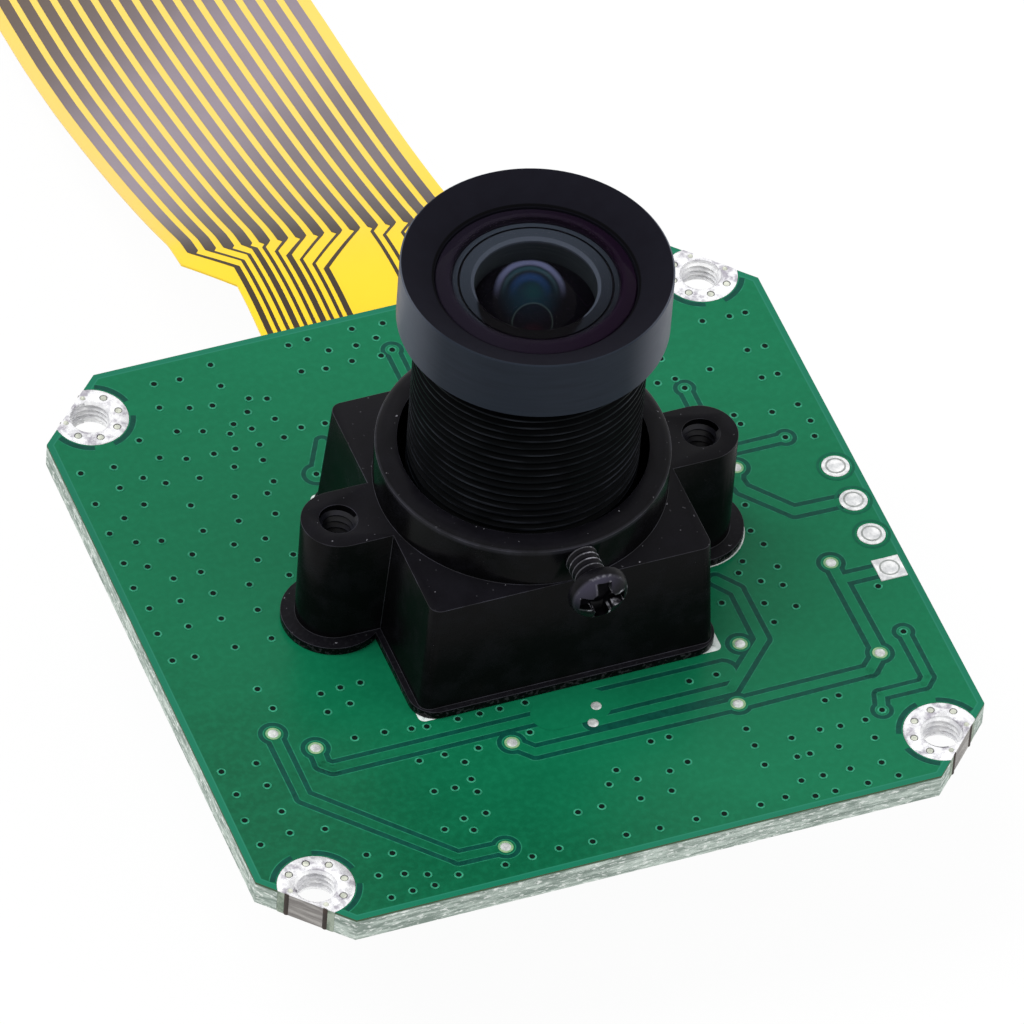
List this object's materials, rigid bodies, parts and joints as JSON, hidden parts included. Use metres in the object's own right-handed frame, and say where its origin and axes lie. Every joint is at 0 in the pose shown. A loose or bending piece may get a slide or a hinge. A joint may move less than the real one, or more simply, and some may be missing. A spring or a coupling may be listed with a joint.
{
  "type": "camera module",
  "caption": "Square circuit-board camera module with a screw-in focusing lens in a black holder and a flat flexible cable from the back.",
  "frame": {"origin": "centre of the four corner holes, on the board's front face, where the lens axis crosses it", "axes": "+Z along the lens axis towards the subject, +Y towards the board edge that the flat cable leaves by"},
  "size_m": [0.04, 0.18, 0.036],
  "materials": {
    "solder_mask": "green lacquer over glass-fibre laminate",
    "tin_plate": "tinned copper",
    "ceramic": "matt ceramic",
    "silicon": "polished silicon with a faint purple sheen",
    "cover_glass": "clear flat glass",
    "filter_glass": "cyan tinted flat glass",
    "holder_plastic": "black moulded plastic, semi gloss",
    "black_steel": "black plated steel, worn at the edges",
    "anodised_metal": "black anodised aluminium",
    "ring_metal": "dark anodised aluminium, turned",
    "lens_glass": "coated optical glass",
    "stop_metal": "matt black",
    "socket_plastic": "cream moulded plastic",
    "latch_plastic": "black moulded plastic",
    "gold_contact": "gold plated",
    "yellow_film": "translucent polyimide film over dark conductors",
    "amber_stiffener": "amber polyimide plate",
    "chip_black": "black moulded package",
    "oscillator_lid": "metal lid",
    "capacitor_brown": "tan ceramic",
    "resistor_black": "black glazed ceramic",
    "inductor_grey": "dark grey ferrite"
  },
  "bodies": {
    "module": {"board": "solder_mask", "corner_pads": "tin_plate", "header_pads": "tin_plate", "sensor_package": "ceramic", "sensor_die": "silicon", "sensor_cover_glass": "cover_glass", "lens_holder": "holder_plastic", "ir_filter": "filter_glass", "holder_screws": "black_steel", "socket_housing": "socket_plastic", "socket_contacts": "gold_contact", "socket_side_tabs": "tin_plate", "flex_cable": "yellow_film", "near_stiffener": "amber_stiffener", "near_fingers": "gold_contact", "far_stiffener": "amber_stiffener", "far_fingers": "gold_contact", "regulators": "chip_black", "oscillator": "oscillator_lid", "inductors": "inductor_grey", "capacitor_bodies": "capacitor_brown", "capacitor_ends": "tin_plate", "resistor_bodies": "resistor_black", "resistor_ends": "tin_plate"},
    "lens_stack": {"second_element": "lens_glass", "front_spacer": "stop_metal", "aperture_stop": "stop_metal", "rear_spacer": "stop_metal", "third_element": "lens_glass", "fourth_element": "lens_glass"},
    "lens": {"lens_barrel": "anodised_metal", "retaining_ring": "ring_metal", "front_element": "lens_glass"},
    "lock_screw": {"lock_screw": "black_steel"},
    "latch": {"socket_latch": "latch_plastic"}
  },
  "joints": [
    {"name": "focus_travel", "type": "slide", "parent": "module", "child": "lens_stack", "axis": [0, 0, 1], "range_m": [-0.001, 0.001]},
    {"name": "focus_turn", "type": "hinge", "parent": "lens_stack", "child": "lens", "pos_m": [0, 0, 0], "axis": [0, 0, 1], "range_deg": [-720, 720]},
    {"name": "lock_turn", "type": "hinge", "parent": "module", "child": "lock_screw", "pos_m": [0.00035, -0.00925, 0.00885], "axis": [0, -1, 0], "range_deg": [0, 360]},
    {"name": "latch_slide", "type": "slide", "parent": "module", "child": "latch", "axis": [0, 1, 0], "range_m": [0, 0.0012]}
  ],
  "couplings": [
    {"joint": "focus_travel", "follows": "focus_turn", "m_per_rad": 0.000079577}
  ]
}
